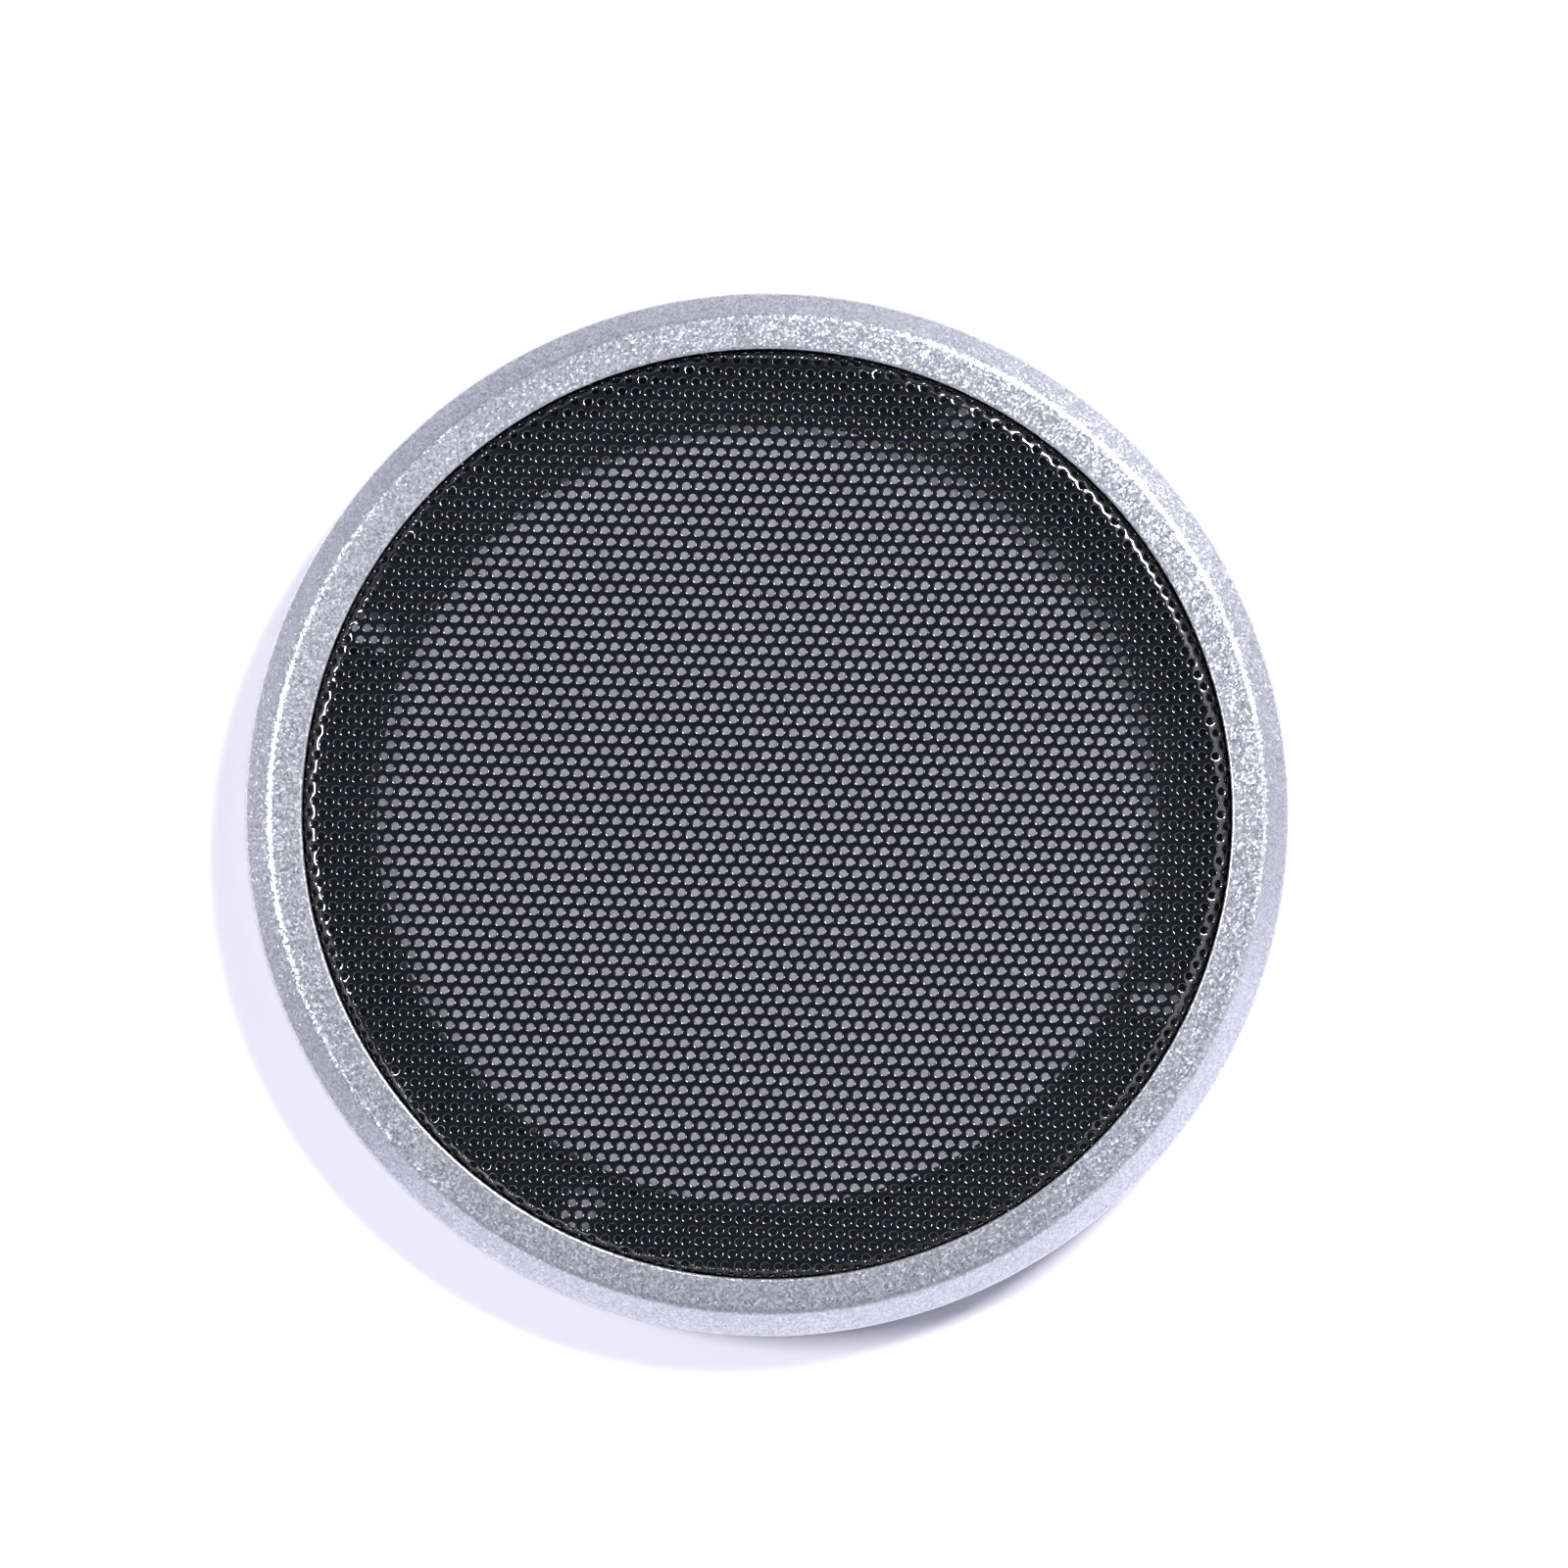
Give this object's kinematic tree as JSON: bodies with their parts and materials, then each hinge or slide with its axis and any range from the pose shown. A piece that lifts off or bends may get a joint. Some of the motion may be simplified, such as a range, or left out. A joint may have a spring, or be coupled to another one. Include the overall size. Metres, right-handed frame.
{
  "type": "speaker grille cover",
  "caption": "Round push-fit car speaker grille: black perforated steel screen in a flaked silver trim ring, over a slotted black mounting ring.",
  "frame": {"origin": "centre of the mounting ring's flat rear face, which lies on the panel", "axes": "+Z points to the front, out of the panel and through the screen; +X points right and +Y up as the cover is seen from the front"},
  "size_m": [0.156, 0.156, 0.012],
  "materials": {
    "silver_flake_paint": "satin",
    "black_powder_coat": "gloss",
    "black_abs": "satin"
  },
  "bodies": {
    "mount": {"mounting_ring": "black_abs"},
    "cover": {"trim_ring": "silver_flake_paint", "mesh_screen": "black_powder_coat", "mesh_clamp_ring": "black_abs"},
    "tongue_1": {"snap_tongue_1": "black_abs"},
    "tongue_2": {"snap_tongue_2": "black_abs"},
    "tongue_3": {"snap_tongue_3": "black_abs"},
    "tongue_4": {"snap_tongue_4": "black_abs"}
  },
  "joints": [
    {"name": "cover_pull", "type": "slide", "parent": "mount", "child": "cover", "axis": [0, 0, 1], "range_m": [0, 0.02]},
    {"name": "tongue_flex_1", "type": "hinge", "parent": "mount", "child": "tongue_1", "pos_m": [-0.02516, 0.07028, 0.0023], "axis": [0.9415, 0.3371, 0], "range_deg": [0, 8], "stiffness_Nm_per_rad": 0.3},
    {"name": "tongue_flex_2", "type": "hinge", "parent": "mount", "child": "tongue_2", "pos_m": [-0.07028, -0.02516, 0.0023], "axis": [-0.3371, 0.9415, 0], "range_deg": [0, 8], "stiffness_Nm_per_rad": 0.3},
    {"name": "tongue_flex_3", "type": "hinge", "parent": "mount", "child": "tongue_3", "pos_m": [0.02516, -0.07028, 0.0023], "axis": [-0.9415, -0.3371, 0], "range_deg": [0, 8], "stiffness_Nm_per_rad": 0.3},
    {"name": "tongue_flex_4", "type": "hinge", "parent": "mount", "child": "tongue_4", "pos_m": [0.07028, 0.02516, 0.0023], "axis": [0.3371, -0.9415, 0], "range_deg": [0, 8], "stiffness_Nm_per_rad": 0.3}
  ]
}
